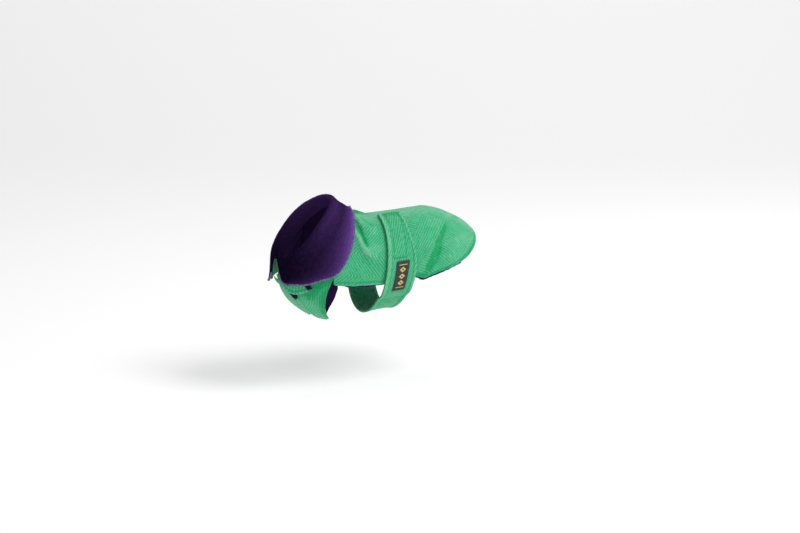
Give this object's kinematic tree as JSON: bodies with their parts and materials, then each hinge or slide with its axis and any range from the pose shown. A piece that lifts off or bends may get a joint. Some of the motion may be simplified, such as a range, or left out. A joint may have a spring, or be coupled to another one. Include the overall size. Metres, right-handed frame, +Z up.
{
  "type": "dog coat",
  "caption": "Small dog's coat in herringbone cloth with a turned-down plush collar, plush lining, wrapped chest piece and a belly belt, in its hollow worn shape.",
  "frame": {"origin": "on the inner face of the coat, on the spine line at the withers, where it rests on its wearer", "axes": "+Z up, -X towards the head end, -Y the garment's left side"},
  "size_m": [0.342, 0.1454, 0.1906],
  "materials": {
    "herringbone_cloth": "thick napped herringbone cloth",
    "plush": "short soft plush pile",
    "woven_label": "flat woven label"
  },
  "bodies": {
    "root": {"back": "herringbone_cloth", "left_front": "herringbone_cloth", "right_front": "herringbone_cloth", "under_collar": "herringbone_cloth", "neck_tab": "herringbone_cloth", "belt": "herringbone_cloth", "upper_collar": "plush", "back_lining": "plush", "left_front_lining": "plush", "right_front_lining": "plush", "neck_tab_lining": "plush", "label": "woven_label"}
  },
  "joints": []
}
